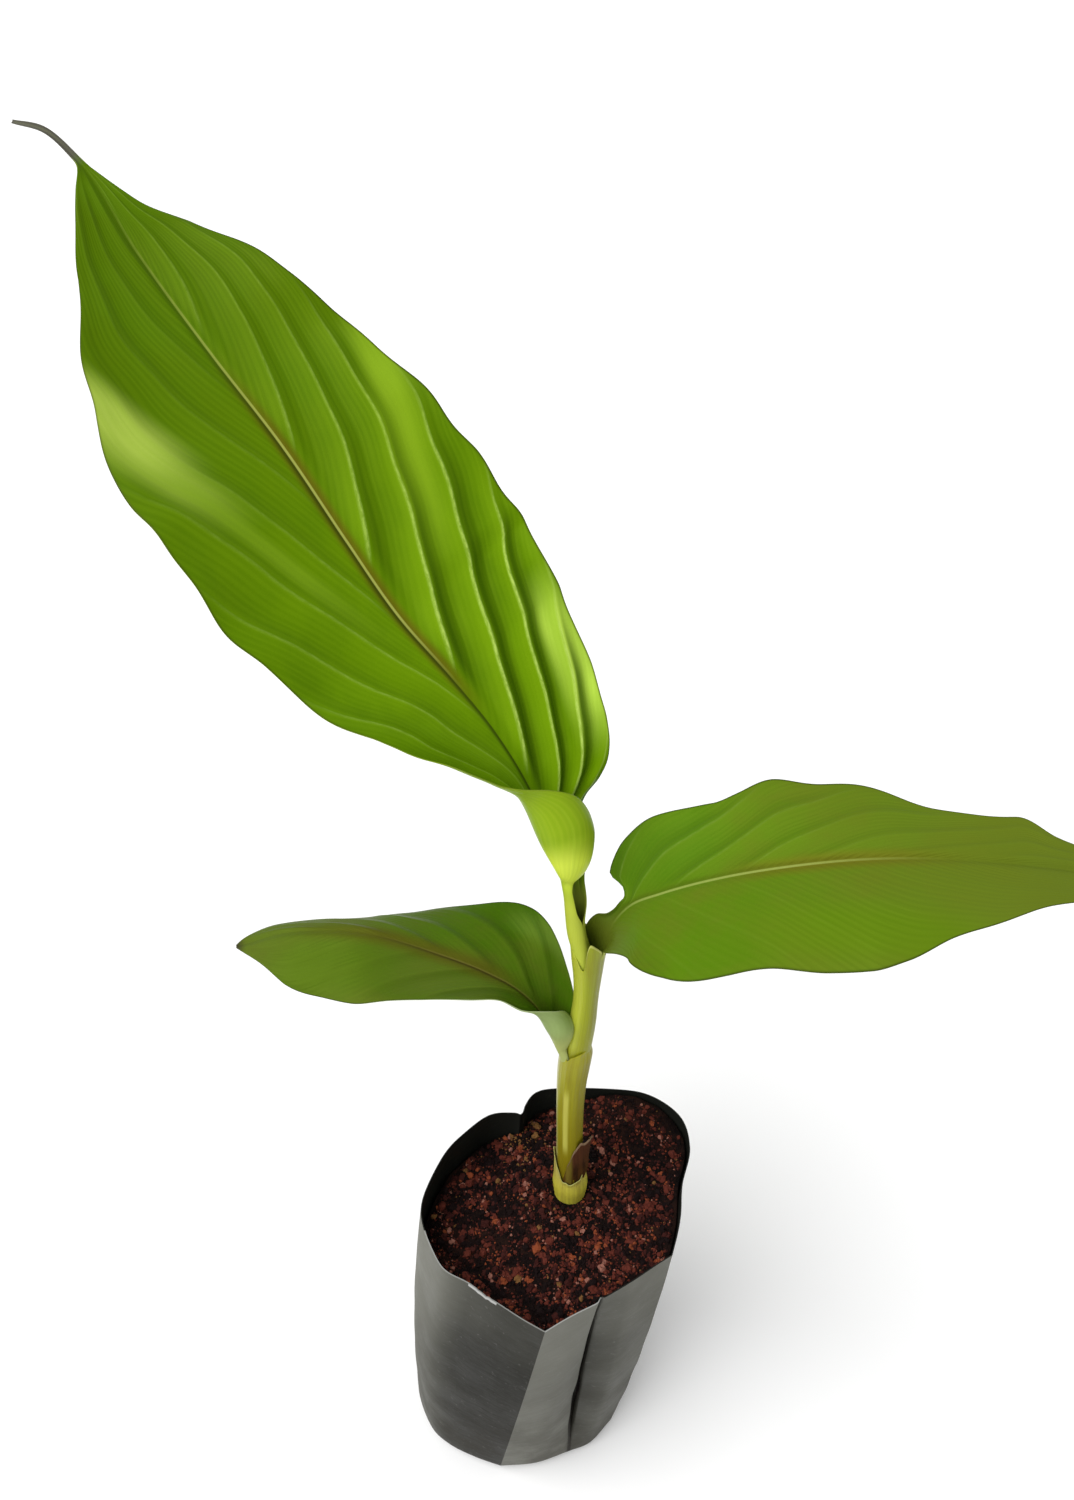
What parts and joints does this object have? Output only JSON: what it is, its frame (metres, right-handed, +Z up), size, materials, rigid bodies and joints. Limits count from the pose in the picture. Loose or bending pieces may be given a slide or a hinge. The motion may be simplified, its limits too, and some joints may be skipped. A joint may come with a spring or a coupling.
{
  "type": "potted turmeric plant",
  "caption": "Young turmeric plant with a rolled-sheath stem and broad pleated leaves, growing in a dark gusseted polythene bag filled with potting soil.",
  "frame": {"origin": "centre of the bag's flat underside, where it stands", "axes": "+Z up, -Y towards the bag's sharp front crease, +X towards the side of the leaf that is held out level"},
  "size_m": [0.3108, 0.1628, 0.4845],
  "materials": {
    "bag_film": "satin, faintly creased",
    "soil": "rough, crumbly",
    "green_stem": "smooth, satin",
    "green_sheath": "smooth, satin",
    "pale_sheath": "papery, pale yellow",
    "dry_scale": "papery, brown",
    "bright_leaf": "glossy, yellow-green",
    "olive_leaf": "semi-gloss, olive green",
    "dark_leaf": "semi-gloss, dark green"
  },
  "bodies": {
    "root": {"grow_bag": "bag_film", "potting_soil": "soil", "pseudostem": "green_stem", "left_sheath": "green_sheath", "basal_sheath": "pale_sheath", "dried_scale": "dry_scale", "top_leaf": "bright_leaf", "right_leaf": "olive_leaf", "left_leaf": "dark_leaf"}
  },
  "joints": []
}
